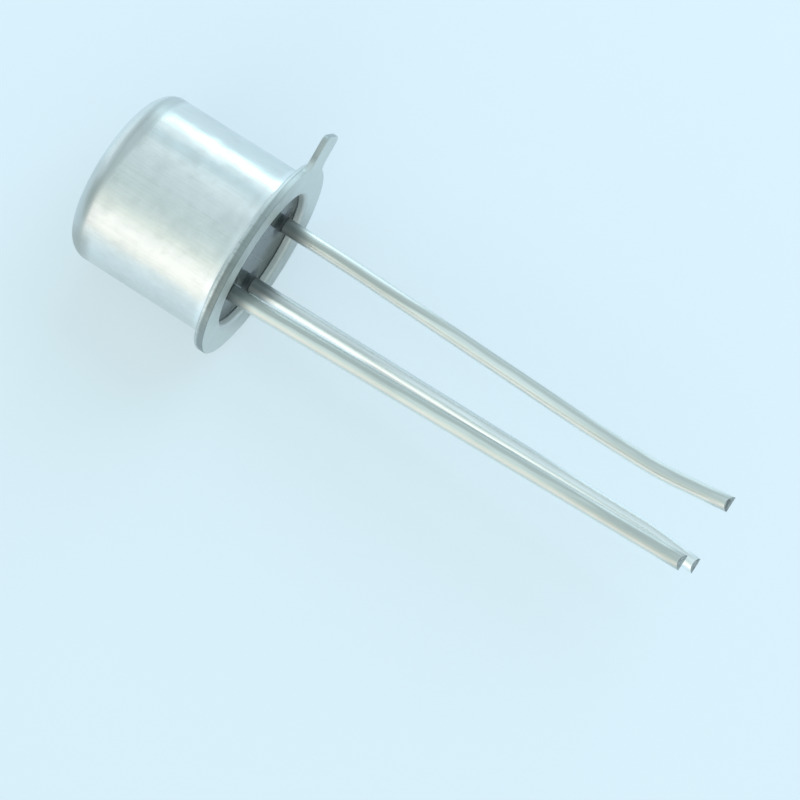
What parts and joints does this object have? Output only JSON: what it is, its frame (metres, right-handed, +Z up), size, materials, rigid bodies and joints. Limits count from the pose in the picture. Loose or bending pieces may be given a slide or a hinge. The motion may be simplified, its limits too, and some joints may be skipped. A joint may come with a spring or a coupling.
{
  "type": "bipolar transistor",
  "caption": "Round metal-can transistor with a flanged header, an index tab and long wire leads in a glass seal, lying on its side.",
  "frame": {"origin": "centre of the seating plane, which is the underside of the header's flange", "axes": "+X runs level along the leads, +Z up from the surface that it lies on, +Y to the index tab's side"},
  "size_m": [0.018, 0.0064, 0.0056],
  "materials": {
    "cap_metal": "drawn nickel, satin to bright, with handling marks",
    "header_metal": "plated sheet, dull satin",
    "seal_glass": "dark grey sealing glass, glossy and opaque",
    "lead_metal": "tinned wire, dull with bright streaks",
    "silicon": "polished silicon, opaque",
    "gold": "gold, satin"
  },
  "bodies": {
    "root": {"cap": "cap_metal", "header": "header_metal", "glass_seal": "seal_glass", "emitter_lead": "lead_metal", "base_lead": "lead_metal", "collector_lead": "lead_metal", "die": "silicon", "die_attach": "gold", "emitter_wire": "gold", "base_wire": "gold"}
  },
  "joints": []
}
